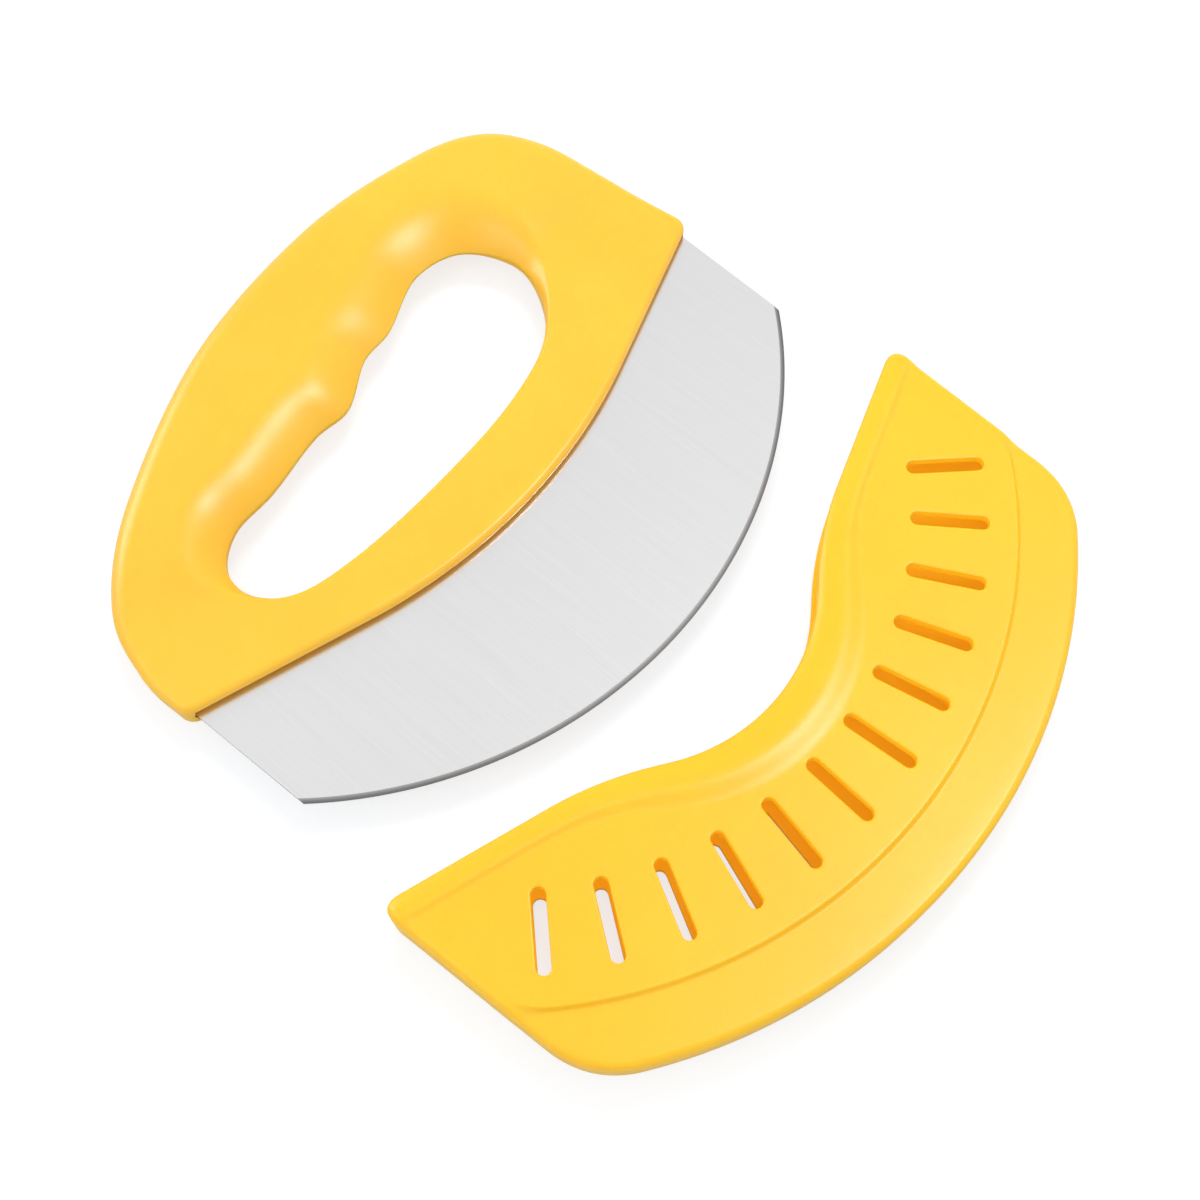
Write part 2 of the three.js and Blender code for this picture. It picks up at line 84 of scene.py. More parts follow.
# Distances along the outlines over which their sections are evened out
EVEN_NORMAL = 1.2 * MM
EVEN_ENDS = 3 * MM
EVEN_ROLL = 6 * MM
EVEN_SWELL = 9 * MM
EVEN_HOLE = 9 * MM
EVEN_GUARD_NORMAL = 0.8 * MM
EVEN_GUARD_ROUND = 1.5 * MM
EVEN_GUARD_HEIGHT = 1.3 * MM

# Rows and points of the meshes
ROUND_ROWS = 13
FACE_ROWS = 12
FINGER_ROWS = 25
LIP_ROWS = 13
STEP_ROWS = 29
SLOT_ROWS = 6
ROOM_POINTS = 121
EDGE_POINTS = 241
TANG_POINTS = 161

# Inside of the guard's skin: how its flat parts are filled with points
LIP_BEYOND = 1.2  # rows go on past the lip, to this many times its slope
STEP_TURN = 0.9  # rows along the step reach this far either way, radians
GRID_X = np.arange(-90, 90, 4.0) * MM
GRID_Y = np.arange(-60, 60, 4.0) * MM
GRID_CLEAR = 2 * MM  # from the grid to those rows
RIM_CLEAR = 0.45 * MM  # from any point to the rim
DELAUNAY_INSIDE = 1  # keeps the triangles inside the rim
DELAUNAY_NEAR = 1e-6
CORNER_TRIES = 12  # rounds in which a side and an arc find where they meet
SLOT_BEYOND = 3 * MM  # the slots' cutters stand out of the panel by this
ROOMS_APART = 0.1 * MM  # keeps the walls of the guard's rooms from lying in one plane
BEVEL_FACING = (0.5, 0.99)  # a bevel's normal points this much up or down

# Lamps: name, place in metres, diameter, and the rays that don't see it
LAMPS = (
    ("key", (0.48, 0.26, 0.83), 0.4, "glossy"),
    ("sheen", (0.3, -0.34, 0.9), 0.26, "diffuse"),
    ("left", (-0.65, 0.25, 0.73), 0.4, ""),
    ("back", (-0.22, 0.88, 0.44), 0.6, "diffuse"),
)
FLOOR_HALF = 4.0


def length(name, description, millimetres):
    return FloatProperty(
        name=name, description=description, default=millimetres * MM, min=0.0, unit="LENGTH", precision=5
    )


def angle(name, description, degrees):
    return FloatProperty(
        name=name, description=description, default=math.radians(degrees), subtype="ANGLE", unit="ROTATION"
    )


def colour(name, description, default):
    return FloatVectorProperty(
        name=name, description=description, default=default, subtype="COLOR", size=3, min=0.0, max=1.0
    )


def share(name, description, default, top=1.0):
    return FloatProperty(name=name, description=description, default=default, min=0.0, max=top)


def number(name, description, default):
    return IntProperty(name=name, description=description, default=default, min=1)


class HandleSizes(bpy.types.PropertyGroup):
    """Sizes of the two handle shells"""

    half_width: length("Half width", "Half the width across the two ends", 81.6)
    edge_radius: length("Edge radius", "Arc in the middle of the blade-side edge", 130)
    edge_rake: angle("Edge rake", "Slope of the straight ends of the blade-side edge", 18.5)
    corner: length("Corner", "Rounding of the two lower corners", 3)
    grip_half: length("Grip half thickness", "Half the thickness of the grip", 7.5)
    base_half: length("Base half thickness", "Half the thickness of the band that holds the blade", 4.1)
    swell_from: length("Swell from", "Height at which the ends start to thicken", 37)
    swell_to: length("Swell to", "Height from which they are as thick as the grip", 63)
    back_round: length("Back round", "Rounding of the grip's back", 5)
    finger_round: length("Finger round", "How far the finger side rounds in", 15)
    finger_land: length("Finger land", "Height of the upright wall left at the parting line", 0.3)
    finger_narrow: share("Finger narrow", "Above 1 the roll narrows sooner round the hole's ends", 1.4, 4.0)
    finger_fade: share("Finger fade", "Below 1 the roll gets shallow later round the hole's ends", 0.3)
    finger_power: share("Finger power", "1 for a straight finger side, 2 for a curved one", 1.8, 4.0)
    base_round: length("Base round", "Rounding of the band's outer edges", 1.6)
    hole_round: length("Hole round", "Rounding of the band's edge at the hole", 1)
    parting: length("Parting gap", "Gap between the two shells", 0.03)
    parting_edge: length("Parting edge", "Broken edge along the parting line", 0.03)


class BladeSizes(bpy.types.PropertyGroup):
    """Sizes of the blade"""

    thick: length("Thickness", "Thickness of the sheet", 1.2)
    end_inset: length("End inset", "The handle's ends stand past the blade by this", 2.1)
    taper: length("Taper", "The blade is this much narrower at each end of the cutting edge", 1.2)
    drop: length("Drop", "From the handle's edge to the cutting edge, at the middle", 44.6)
    edge_radius: length("Edge radius", "Radius of the cutting edge", 107)
    bevel: length("Bevel", "Width of the ground edge", 1.05)
    land: length("Land", "Thickness left at the cutting edge", 0.25)
    shoulder: length("Shoulder", "The full width enters the handle this far", 2)
    tang: length("Tang", "Depth of the tang in the handle", 11.5)
    tang_inset: length("Tang inset", "The tang is this much narrower at each end", 6)
    fit: length("Fit", "Clearance round the blade in the handle", 0.3)
    relief: length("Relief", "Depth of the undercut where the blade enters the handle", 2.4)
    relief_half: length("Relief half height", "Half the height of that undercut", 2.1)


class GuardSizes(bpy.types.PropertyGroup):
    """Sizes of the blade guard"""

    wall: length("Wall", "Thickness of the front and rear walls", 1.85)
    rim: length("Rim", "Wall along the outer edge and the ends", 1.8)
    fit: length("Fit", "Clearance to each face of the handle", 0.35)
    ear_fit: length("Ear fit", "Clearance to each end of the handle", 0.6)
    edge_room: length("Edge room", "Space below the cutting edge", 1.5)
    lap: length("Lap", "The mouth's middle laps the handle's edge by this", 2)
    dip_radius: length("Dip radius", "Arc in the middle of the mouth", 42)
    ramp_angle: angle("Ramp angle", "Steepest slope of the mouth", 35)
    ramp: length("Ramp", "Straight run between the mouth's arcs", 4)
    flare_radius: length("Flare radius", "Arc that leads to the ears", 80)
    ear_cut: length("Ear cut", "Rounding of the tips of the ears", 5)
    draft: angle("Draft", "Taper of the two ends", 3)
    edge_radius: length("Edge radius", "Radius of the outer edge", 124)
    corner_cut: length("Corner cut", "Rounding of the two lower corners", 10)
    panel_corner: length("Panel corner", "Rounding of the pocket's lower corners", 3)
    band_width: length("Band width", "Thinner band along the outer edge", 13)
    band_half: length("Band half thickness", "Half the thickness of that band", 5.3)
    step_inside: length("Step inside", "How far the soft step reaches into the panel", 0.7)
    step_outside: length("Step outside", "How far it reaches into the band", 0.3)
    step_fade: length("Step fade", "Distance from each end over which the step softens", 5.5)
    step_softer: share("Step softer", "How many times as wide the step is at the ends", 2.6, 20.0)
    edge_round: length("Edge round", "Rounding of the outer edges", 1.9)
    end_round: length("End round", "Rounding of the panel's two ends", 1.9)
    bead_half: length("Bead half thickness", "Half the thickness at the middle of the lip", 7.5)
    bead_reach: length("Bead reach", "Distance from the middle at which the lip is plain", 54)
    bead_crest: length("Bead crest", "From the mouth to the crest of the lip, at the middle", 6.8)
    bead_width: length("Bead width", "Width of the lip at the middle", 13)
    bead_drop: length("Bead drop", "How far the lip rounds down to the mouth, at the middle", 2.3)
    lip_rise: length("Lip rise", "How far the lip stands above the panel on the ears", 0.7)
    lip_crest: length("Lip crest", "From the mouth to the crest of the lip, on the ears", 4.2)
    lip_width: length("Lip width", "Width of the lip on the ears", 6.2)
    lip_drop: length("Lip drop", "How far the lip rounds down to the mouth, on the ears", 1.6)
    lip_soft: share("Lip softness", "0 for a straight slope inside the lip, 1 for a rounded one", 0.95)
    slots: number("Slots", "Number of slots", 12)
    slot_pitch: angle("Slot pitch", "Angle from slot to slot", 8)
    slot_length: length("Slot length", "Length of a slot", 17)
    slot_width: length("Slot width", "Width of a slot", 3)
    slot_edge: length("Slot edge", "Rounding of the slots' edges", 0.45)
    slot_lip: length("Slot lip", "Tiny upright rim where that rounding meets the panel", 0.03)
    slot_to_step: length("Slot to step", "From a slot's end to the step", 6.5)
    stop_ribs: number("Stop ribs", "Number of ribs that stop the handle", 5)
    stop_pitch: length("Stop pitch", "From rib to rib", 13.3)
    stop_thick: length("Stop thickness", "Thickness of a rib", 1.6)
    stop_slit: length("Stop slit", "Slit in each rib that the blade passes", 3.4)
    stop_fit: length("Stop fit", "Between the seated handle and the ribs", 0.4)


class Finishes(bpy.types.PropertyGroup):
    """Colours and gloss of the materials"""

    handle_colour: colour("Handle", "Moulded handle plastic", (1.0, 0.575, 0.036))
    handle_shade: colour("Handle shade", "Its slightly deeper tone", (1.0, 0.535, 0.026))
    handle_gloss: share("Handle roughness", "Roughness of the handle plastic", 0.34)
    handle_grain: share("Handle grain", "Strength of the mould's grain on the handle", 0.25)
    guard_colour: colour("Guard", "Moulded guard plastic", (1.0, 0.588, 0.01))
    guard_shade: colour("Guard shade", "Its slightly deeper tone", (1.0, 0.56, 0.007))
    guard_gloss: share("Guard roughness", "Roughness of the guard plastic", 0.36)
    guard_grain: share("Guard grain", "Strength of the mould's grain on the guard", 0.18)
    # Painted glow: emission on the guard's inside walls, standing in for light through them
    guard_painted_glow: colour("Guard glow", "Light through the guard's thin walls", (0.125, 0.095, 0.005))
    steel_colour: colour("Steel", "Brushed face of the blade", (0.747, 0.747, 0.752))
    streak_colour: colour("Streaks", "Deeper brush lines of the blade", (0.713, 0.713, 0.718))
    # Ground bevel: a darker ground finish plus painted shade, deepest along the cutting edge
    bevel_grind_and_shade: colour("Bevel", "Ground bevel of the blade, where it starts", (0.34, 0.34, 0.342))
    edge_painted_shade: colour("Cutting edge", "Ground bevel along the very edge", (0.12, 0.12, 0.121))
    steel_gloss: share("Steel roughness", "Roughness of the brushed face", 0.25)
    bevel_gloss: share("Bevel roughness", "Roughness of the ground bevel", 0.58)


class StageSizes(bpy.types.PropertyGroup):
    """Camera, lights and floor"""

    target: FloatVectorProperty(
        name="Target", description="Point that the camera looks at", subtype="TRANSLATION", unit="LENGTH",
        default=(-4.9 * MM, -10.5 * MM, 7.5 * MM),
    )
    heading: angle("Heading", "Direction from the camera, turned from +Y to -X", -49.3)
    elevation: angle("Elevation", "Height of the camera above the horizon", 67)
    distance: length("Distance", "From the camera to its target", 319.3)
    field: angle("Field of view", "Across the square picture", 44)
    ambient: share("Ambient", "Even light from all round", 0.8, 4.0)
    key: share("Key", "Soft light from the right, watts", 4.1, 100.0)
    sheen: share("Sheen", "Light from above that shows in reflections only, watts", 5, 100.0)
    left: share("Left", "Soft light from the left, watts", 1.2, 100.0)
    back: share("Back", "Light from behind that shows in reflections only, watts", 4.5, 100.0)
    floor_colour: colour("Floor", "Pale floor", (0.72, 0.72, 0.72))
    floor_shade: colour("Floor shade", "Part of its white that shadows take away", (0.28, 0.3, 0.32))
    floor_white: share("Floor white", "Part of its white that they leave", 0.75)


# Curves in the plane


def arc(centre, radius, start, end, pitch):
    steps = max(2, round(abs(end - start) * radius / pitch))
    turn = np.linspace(start, end, steps + 1)
    return np.column_stack([centre[0] + radius * np.cos(turn), centre[1] + radius * np.sin(turn)])


def line(start, end, pitch):
    start, end = np.array(start), np.array(end)
    steps = max(1, round(np.linalg.norm(end - start) / pitch))
    return start + np.linspace(0, 1, steps + 1)[:, None] * (end - start)


def corner(start, control, end, pitch):
    start, control, end = np.array(start), np.array(control), np.array(end)
    steps = max(8, round(np.linalg.norm(end - start) / pitch))
    t = np.linspace(0, 1, steps + 1)[:, None]
    return (1 - t) ** 2 * start + 2 * t * (1 - t) * control + t**2 * end


def hermite(a, b, slope_a, slope_b, pitch):
    """A curve from a to b that leaves and arrives with the slopes given."""
    t = np.linspace(0, 1, max(4, round(np.linalg.norm(b - a) / pitch)) + 1)[:, None]
    return (
        (2 * t**3 - 3 * t**2 + 1) * a
        + (t**3 - 2 * t**2 + t) * slope_a
        + (3 * t**2 - 2 * t**3) * b
        + (t**3 - t**2) * slope_b
    )


def open_spline(points, pitch):
    """An even spline through points, which runs straight out of its two ends."""
    points = np.array(points)
    runs = []
    for i in range(len(points) - 1):
        before, after = points[max(i - 1, 0)], points[min(i + 2, len(points) - 1)]
        a, b = points[i], points[i + 1]
        runs.append(hermite(a, b, (b - before) / 2, (after - a) / 2, pitch))
    return joined(*runs)


def closed_spline(points, pitch):
    """A closed spline through points, which doesn't overshoot where they stand close."""
    points = np.array(points)
    runs = []
    for i in range(len(points)):
        a0, a, b, b0 = (points[(i + k) % len(points)] for k in (-1, 0, 1, 2))
        d0, d1, d2 = (math.sqrt(np.linalg.norm(q - p)) for p, q in ((a0, a), (a, b), (b, b0)))
        slope_a = d1 * ((a - a0) / d0 - (b - a0) / (d0 + d1) + (b - a) / d1)
        slope_b = d1 * ((b - a) / d1 - (b0 - a) / (d1 + d2) + (b0 - b) / d2)
        runs.append(hermite(a, b, slope_a, slope_b, pitch))
    return joined(*runs)[:-1]


def joined(*runs):
    points = np.vstack(runs)
    step = np.linalg.norm(np.diff(points, axis=0), axis=1)
    return points[np.concatenate([[True], step > SAME_POINT])]


def smoothstep(value, low, high):
    t = np.clip((np.asarray(value, float) - low) / (high - low), 0, 1)
    return t * t * (3 - 2 * t)


def mixed(low, high, part):
    return low + (high - low) * part


def left_normals(loop):
    along = np.roll(loop, -1, 0) - np.roll(loop, 1, 0)
    along /= np.linalg.norm(along, axis=1, keepdims=True)
    return np.column_stack([-along[:, 1], along[:, 0]])


def evened(values, loop, reach):
    """Values along a closed loop, each replaced by the mean of what lies within about reach."""
    step = np.linalg.norm(np.roll(loop, -1, 0) - loop, axis=1)
    place = np.concatenate([[0], np.cumsum(step)])
    around = place[-1]
    apart = np.abs(place[:-1, None] - place[None, :-1])
    apart = np.minimum(apart, around - apart)
    weight = np.exp(-((apart / reach) ** 2)) * (step + np.roll(step, 1)) / 2
    weight /= weight.sum(1, keepdims=True)
    return weight @ values


def unit(vectors):
    return vectors / np.linalg.norm(vectors, axis=1, keepdims=True)


def nearest(points, run):
    """Distance from each point to a run of points, and the place on it."""
    best = np.full(len(points), np.inf)
    place = np.zeros((len(points), 2))
    for a, b in zip(run[:-1], run[1:]):
        span = b - a
        t = np.clip(((points - a) @ span) / (span @ span), 0, 1)
        foot = a + t[:, None] * span
        away = np.linalg.norm(points - foot, axis=1)
        closer = away < best
        best[closer] = away[closer]
        place[closer] = foot[closer]
    return best, place


def inside(points, loop):
    """Which points lie in a closed loop."""
    found = np.zeros(len(points), bool)
    x, y = points[:, 0], points[:, 1]
    for (ax, ay), (bx, by) in zip(loop, np.roll(loop, -1, 0)):
        if ay == by:
            continue
        crosses = (ay > y) != (by > y)
        found ^= crosses & (x < (bx - ax) * (y - ay) / (by - ay) + ax)
    return found


# Meshes


def raised(plan, height):
    """Points of a plan at one height, or each at its own."""
    return np.column_stack([plan, np.broadcast_to(height, len(plan))])


def mesh_object(name, vertices, faces, sharp, *materials):
    """A closed mesh object with smooth faces, sharp where faces meet at more than an angle."""
    mesh = bpy.data.meshes.new(name)
    mesh.from_pydata([tuple(v) for v in vertices], [], [tuple(int(i) for i in f) for f in faces])
    work = bmesh.new()
    work.from_mesh(mesh)
    bmesh.ops.remove_doubles(work, verts=work.verts, dist=WELD)
    bmesh.ops.recalc_face_normals(work, faces=work.faces)
    work.to_mesh(mesh)
    work.free()
    shade(mesh, sharp)
    for material in materials:
        mesh.materials.append(material)
    made = bpy.data.objects.new(name, mesh)
    bpy.context.scene.collection.objects.link(made)
    return made


def shade(mesh, sharp):
    mesh.shade_smooth()
    mesh.set_sharp_from_angle(angle=sharp)


def ring_faces(loops, size, closed):
    """Quads over loops of points, each loop closed, joined last to first if closed."""
    faces = []
    for i in range(loops if closed else loops - 1):
        here, there = i * size, ((i + 1) % loops) * size
        for j in range(size):
            k = (j + 1) % size
            faces.append((here + j, there + j, there + k, here + k))
    return faces


def prism(outline, levels):
    """A closed solid over an outline: each level is a height and how far the outline is grown there."""
    grow = -left_normals(outline)
    rings = [raised(outline + grow * out, z) for z, out in levels]
    size = len(outline)
    last = (len(levels) - 1) * size
    faces = ring_faces(len(levels), size, False)
    faces += [range(size), range(last, last + size)[::-1]]
    return np.vstack(rings), faces


def slab(outline, half):
    """A closed solid over an outline, as deep as half to each side."""
    return prism(outline, [(-half, 0), (half, 0)])


def merged(solids):
    """Several solids as one list of vertices and one of faces."""
    vertices, faces, start = [], [], 0
    for points, sides in solids:
        vertices.append(points)
        faces += [tuple(i + start for i in side) for side in sides]
        start += len(points)
    return np.vstack(vertices), faces


def cut(target, cutters):
    """Cuts objects out of a mesh object and removes them."""
    for cutter in cutters:
        modifier = target.modifiers.new(cutter.name, "BOOLEAN")
        modifier.operation = "DIFFERENCE"
        modifier.solver = "EXACT"
        modifier.material_mode = "TRANSFER"
        modifier.object = cutter
    bpy.context.view_layer.update()
    view = bpy.context.evaluated_depsgraph_get()
    made = bpy.data.meshes.new_from_object(target.evaluated_get(view))
    target.modifiers.clear()
    old = target.data
    target.data = made
    bpy.data.meshes.remove(old)
    made.name = target.name
    for cutter in cutters:
        mesh = cutter.data
        bpy.data.objects.remove(cutter)
        bpy.data.meshes.remove(mesh)
    shade(made, SHARP)


# Shader maths


class Wire:
    """A shader output that takes part in Python expressions by adding Math nodes."""

    def __init__(self, tree, socket):
        self.tree = tree
        self.socket = socket

    def maths(self, operation, *values):
        return self.tree.node("ShaderNodeMath", {"operation": operation}, dict(enumerate(values)))

    def __add__(self, other):
        return self.maths("ADD", self, other)

    def __radd__(self, other):
        return self.maths("ADD", other, self)

    def __sub__(self, other):
        return self.maths("SUBTRACT", self, other)

    def __rsub__(self, other):
        return self.maths("SUBTRACT", other, self)

    def __mul__(self, other):
        return self.maths("MULTIPLY", self, other)

    def __rmul__(self, other):
        return self.maths("MULTIPLY", other, self)

    def __truediv__(self, other):
        return self.maths("DIVIDE", self, other)

    def __rtruediv__(self, other):
        return self.maths("DIVIDE", other, self)

    def __pow__(self, other):
        return self.maths("POWER", self, other)


class Tree:
    """The nodes of one material or of the world."""

    def __init__(self, owner):
        owner.use_nodes = True
        self.tree = owner.node_tree
        self.tree.nodes.clear()

    def node(self, kind, settings=None, sockets=None, output=0):
        """Adds a node, sets it, fills its sockets with values or wires, and gives one output."""
        made = self.tree.nodes.new(kind)
        for name, value in (settings or {}).items():
            if name == "stops":
                self.set_stops(made.color_ramp, value)
            else:
                setattr(made, name, value)
        for name, value in (sockets or {}).items():
            if isinstance(value, Wire):
                self.tree.links.new(value.socket, made.inputs[name])
            else:
                made.inputs[name].default_value = value
        return Wire(self, made.outputs[output]) if made.outputs else None

    @staticmethod
    def set_stops(ramp, stops):
        for place, level in stops[len(ramp.elements):]:
            ramp.elements.new(place)
        for element, (place, level) in zip(ramp.elements, stops):
            element.position = place
            element.color = (level, level, level, 1)

    def place(self):
        return self.node("ShaderNodeTexCoord", output="Object")

    def scaled(self, vector, factors, turn):
        sockets = {"Vector": vector, "Scale": factors, "Rotation": (0, 0, turn)}
        return self.node("ShaderNodeMapping", None, sockets)

    def noise(self, vector, scale=1.0, detail=2.0, rough=0.5):
        sockets = {"Vector": vector, "Scale": scale, "Detail": detail, "Roughness": rough}
        return self.node("ShaderNodeTexNoise", None, sockets)

    def ramp(self, value, stops):
        return self.node("ShaderNodeValToRGB", {"stops": stops}, {"Fac": value})

    def blend(self, part, low, high):
        """Mixes two colours, which are the Mix node's sockets 6 and 7 and its output 2."""
        settings = {"data_type": "RGBA"}
        return self.node("ShaderNodeMix", settings, {0: part, 6: (*low, 1), 7: (*high, 1)}, 2)

    def bump(self, height, strength, distance, normal=None):
        sockets = {"Strength": strength, "Distance": distance, "Height": height}
        if normal is not None:
            sockets["Normal"] = normal
        return self.node("ShaderNodeBump", None, sockets)

    def surface(self, sockets):
        shader = self.node("ShaderNodeBsdfPrincipled", None, sockets)
        self.node("ShaderNodeOutputMaterial", None, {"Surface": shader})


def moulded_plastic(name, body, shade_tone, gloss, grain, glow=(0, 0, 0)):
    """Satin plastic with the grain of its mould and a drift of tone; glow is painted light, an emission
    that stands in for light through thin walls.
    """
    made = bpy.data.materials.new(name)
    tree = Tree(made)
    place = tree.place()
    drift = tree.noise(place, scale=22.0, detail=3.0)
    fleck = tree.noise(place, scale=1900.0)
    pits = tree.noise(place, scale=3600.0, detail=1.0)
    tone = tree.ramp(drift * 0.85 + fleck * 0.15, [(0.36, 0.0), (0.64, 1.0)])
    sink = tree.bump(drift, strength=0.05, distance=2 * MM)
    normal = tree.bump(pits * 0.6 + fleck * 0.4, grain, distance=0.12 * MM, normal=sink)
    tree.surface({
        "Base Color": tree.blend(tone, shade_tone, body),
        "Roughness": gloss - 0.05 + fleck * 0.06 + drift * 0.04,
        "Subsurface Weight": 0.6,
        "Subsurface Radius": (1.0, 0.45, 0.08),
        "Subsurface Scale": 1.2 * MM,
        "Specular Tint": (1.0, 0.82, 0.95, 1),
        # Painted glow: the emission lights the surface itself, in place of light through thin walls
        "Emission Color": (*glow, 1),
        "Emission Strength": 1.0,
        "Normal": normal,
    })
    return made


def brushed_steel(finishes):
    """Face of the blade: fine brush lines across its length, a few stray scratches."""
    made = bpy.data.materials.new("brushed steel")
    tree = Tree(made)
    place = tree.place()
    brush = tree.noise(tree.scaled(place, (2600, 45, 1), turn=0.06), detail=3.0, rough=0.6)
    coarse = tree.noise(tree.scaled(place, (520, 12, 1), turn=0.03))
    cloud = tree.noise(place, scale=26.0)
    scratch = tree.noise(tree.scaled(place, (900, 26, 1), turn=-0.22), detail=0.0)
    stray = tree.ramp(scratch, [(0.71, 0.0), (0.76, 1.0)])
    tone = tree.ramp(brush * 0.5 + coarse * 0.3 + cloud * 0.2 + stray * 0.1, [(0.3, 0.0), (0.7, 1.0)])
    tree.surface({
        "Base Color": tree.blend(tone, finishes.streak_colour, finishes.steel_colour),
        "Metallic": 1.0,
        "Roughness": finishes.steel_gloss - 0.03 + brush * 0.06,
        "Normal": tree.bump(brush * 0.7 + coarse * 0.3, strength=0.05, distance=0.04 * MM),
    })
    return made


def ground_steel_and_painted_shade(finishes, blade, centre):
    """Bevel of the blade: fine grinding lines, with painted shade that darkens it most along the very edge.
    """
    made = bpy.data.materials.new("ground steel edge")
    tree = Tree(made)
    place = tree.place()
    x, y = (tree.node("ShaderNodeSeparateXYZ", None, {0: place}, axis) for axis in ("X", "Y"))
    radius = (x * x + (y - centre) * (y - centre)) ** 0.5
    out = (radius - (blade.edge_radius - blade.bevel)) / blade.bevel
    turn = x.maths("ARCTAN2", x, centre - y)
    lines_round, lines_out = 2400.0, 60.0
    across = tree.node("ShaderNodeCombineXYZ", None, {"X": turn * lines_round, "Y": radius * lines_out})
    lines = tree.noise(across, detail=3.0, rough=0.6)
    # Painted shade: the tone darkens from where the bevel starts to the cutting edge
    tone = tree.ramp(out * 0.92 + lines * 0.16 - 0.08, [(0.0, 0.0), (0.55, 0.75), (1.0, 1.0)])
    tree.surface({
        "Base Color": tree.blend(tone, finishes.bevel_grind_and_shade, finishes.edge_painted_shade),
        "Metallic": 1.0,
        "Roughness": finishes.bevel_gloss + lines * 0.06,
        "Normal": tree.bump(lines, strength=0.05, distance=0.03 * MM),
    })
    return made


# Handle


def edge_height(sizes, x):
    """Height of the handle's blade-side edge: an arc that runs into straight raked ends."""
    along = np.abs(np.asarray(x, float))
    radius, rake = sizes.edge_radius, sizes.edge_rake
    reach = radius * math.sin(rake)
    curved = radius - np.sqrt(radius**2 - np.minimum(along, reach) ** 2)
    return curved + np.maximum(along - reach, 0) * math.tan(rake)


def blade_half(handle, blade):
    return handle.half_width - blade.end_inset


def handle_outline(handle, pitch):
    half, reach = handle.half_width, handle.edge_radius * math.sin(handle.edge_rake)
    before = half - handle.corner
    tip = float(edge_height(handle, half))
    ends = float(edge_height(handle, before))
    right = line((reach, float(edge_height(handle, reach))), (before, ends), pitch)
    above = tip + handle.corner
    back = [(half - END_LEAN, above), *(np.array(GRIP_BACK) * MM), (-half, above)]
    outline = joined(
        right[::-1] * (-1, 1),
        arc((0, handle.edge_radius), handle.edge_radius, -QUARTER - handle.edge_rake,
            -QUARTER + handle.edge_rake, pitch),
        right,
        corner((before, ends), (half, tip), back[0], pitch / 3),
        open_spline(back, pitch),
        corner(back[-1], (-half, tip), (-before, ends), pitch / 3),
    )
    return outline[:-1]


def hole_outline(pitch):
    grip = []
    for finger, groove in enumerate(FINGER_GROOVES):
        grip += [groove, *FINGER_RIDGES[finger:finger + 1]]
    return closed_spline(np.array([*grip, *HOLE_BACK]) * MM, pitch)


def hole_at(outer, pitch):
    """The hole's edge on the way from its spine to each outer point, and that way."""
    hole = hole_outline(pitch)
    _, foot = nearest(outer, HOLE_SPINE)
    away = unit(outer - foot)
    reach = hole - foot[:, None]
    side = away[:, :1] * reach[..., 1] - away[:, 1:] * reach[..., 0]
    ahead = (reach * away[:, None]).sum(2) > 0
    here = ((side * np.roll(side, -1, 1) <= 0) & ahead).argmax(1)
    there = (here + 1) % len(hole)
    row = np.arange(len(outer))
    part = side[row, here] / (side[row, here] - side[row, there])
    return mixed(hole[here], hole[there], part[:, None]), away


def finger_roll(inner):
    """How much of the finger side's rounding the hole's edge has: none along the band."""
    across = np.clip((inner[:, 0] - HOLE_LEFT[0]) / (HOLE_RIGHT[0] - HOLE_LEFT[0]), 0, 1)
    low, high = (mixed(HOLE_LEFT[i], HOLE_RIGHT[i], across) for i in (1, 2))
    return smoothstep((inner[:, 1] - low) / (high - low), 0, 1)


def shell_sections(handle, pitch):
    """Closed sections of the front shell, one at each point of the outline."""
    outer = handle_outline(handle, pitch)
    inner, away = hole_at(outer, pitch / 2)
    inward = unit(evened(left_normals(outer), outer, EVEN_NORMAL))
    swell = evened(smoothstep(outer[:, 1], handle.swell_from, handle.swell_to), outer, EVEN_SWELL)
    half = mixed(handle.base_half, handle.grip_half, swell)
    tip = float(edge_height(handle, handle.half_width))
    ends = evened(smoothstep(outer[:, 1], tip, handle.swell_from), outer, EVEN_ENDS)
    back = mixed(handle.base_round, handle.back_round, (ends + 2 * swell) / 3)
    roll = evened(finger_roll(inner), outer, EVEN_ROLL)
    finger = mixed(handle.hole_round, handle.finger_round, roll**handle.finger_narrow)
    deep = roll**handle.finger_fade
    drop = mixed(handle.hole_round, half - handle.finger_land, deep)
    lift, edge = handle.parting / 2, handle.parting_edge
    rows = [raised(outer + inward * edge, lift), raised(outer, lift + edge)]
    for turn in np.linspace(0, QUARTER, ROUND_ROWS):
        into = back * (1 - math.cos(turn))
        rows.append(raised(outer + inward * into[:, None], half - back * (1 - math.sin(turn))))
    start = outer + inward * back[:, None]
    reach = away * finger[:, None] + (evened(inner, outer, EVEN_HOLE) - inner) * roll[:, None]
    for part in np.linspace(0, 1, FACE_ROWS)[1:-1]:
        rows.append(raised(mixed(start, inner + reach, part), half))
    for turn in np.linspace(0, QUARTER, FINGER_ROWS):
        fall = mixed(1 - math.cos(turn), math.sin(turn) ** handle.finger_power, deep)
        rows.append(raised(inner + reach * (1 - math.sin(turn)), half - drop * fall))
    rows += [raised(inner, lift + edge), raised(inner + away * edge, lift)]
    return np.stack(rows, axis=1)


